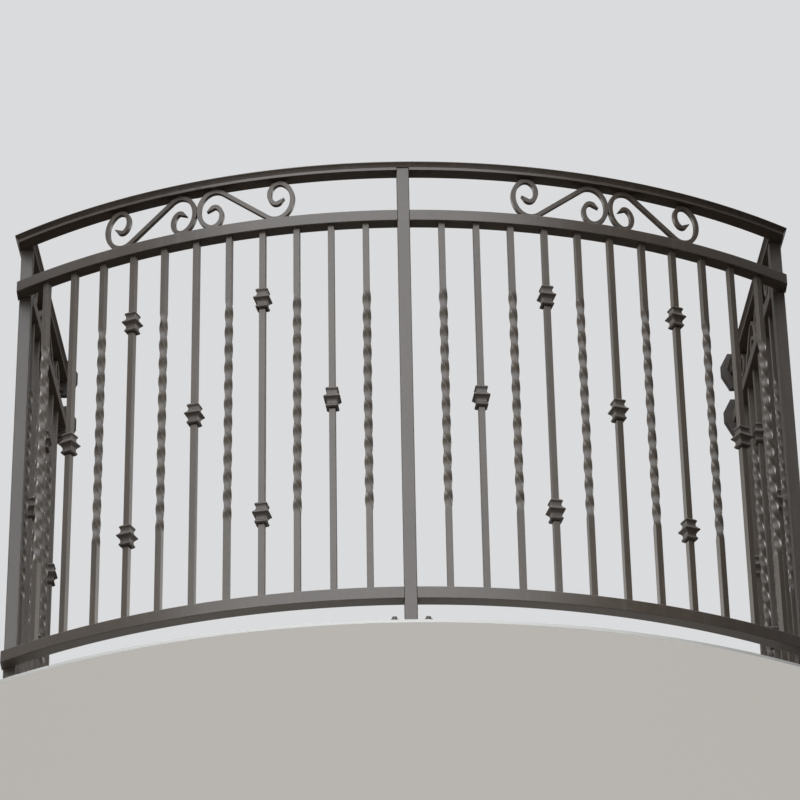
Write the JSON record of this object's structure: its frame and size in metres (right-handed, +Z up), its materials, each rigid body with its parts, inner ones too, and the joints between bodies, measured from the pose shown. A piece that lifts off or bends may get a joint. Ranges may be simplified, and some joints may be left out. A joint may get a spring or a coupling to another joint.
{
  "type": "balcony railing",
  "caption": "Bowed wrought iron balcony railing with twisted and collared pickets, S scrolls, a moulded cap rail, side returns to the wall, base plates and wall flanges.",
  "frame": {"origin": "middle of the underside of the centre post's base plate, on the floor", "axes": "+Z up, the bowed front faces -Y, +Y runs back to the wall, +X along the wall"},
  "size_m": [1.6606, 0.875, 1.1056],
  "materials": {
    "frame_paint": "satin dark bronze paint",
    "cap_paint": "satin dark bronze paint",
    "picket_paint": "satin dark bronze paint",
    "collar_paint": "satin dark bronze paint on castings",
    "scroll_paint": "satin dark bronze paint",
    "plate_paint": "satin dark bronze paint"
  },
  "bodies": {
    "root": {"post_centre": "frame_paint", "post_corner_left": "frame_paint", "post_corner_right": "frame_paint", "base_plate_centre": "plate_paint", "base_plate_left": "plate_paint", "base_plate_right": "plate_paint", "cap_front": "cap_paint", "cap_side_left": "cap_paint", "cap_side_right": "cap_paint", "top_rail_front_left": "frame_paint", "top_rail_front_right": "frame_paint", "top_rail_side_left": "frame_paint", "top_rail_side_right": "frame_paint", "mid_rail_front_left": "frame_paint", "mid_rail_front_right": "frame_paint", "mid_rail_side_left": "frame_paint", "mid_rail_side_right": "frame_paint", "bottom_rail_front_left": "frame_paint", "bottom_rail_front_right": "frame_paint", "bottom_rail_side_left": "frame_paint", "bottom_rail_side_right": "frame_paint", "scrolls_front_left": "scroll_paint", "scrolls_front_right": "scroll_paint", "scrolls_side_left": "scroll_paint", "scrolls_side_right": "scroll_paint", "twisted_front_left": "picket_paint", "twisted_front_right": "picket_paint", "twisted_side_left": "picket_paint", "twisted_side_right": "picket_paint", "straight_front_left": "picket_paint", "straight_front_right": "picket_paint", "straight_side_left": "picket_paint", "straight_side_right": "picket_paint", "collars_front_left": "collar_paint", "collars_front_right": "collar_paint", "collars_side_left": "collar_paint", "collars_side_right": "collar_paint", "wall_flanges_left": "plate_paint", "wall_flanges_right": "plate_paint"}
  },
  "joints": []
}
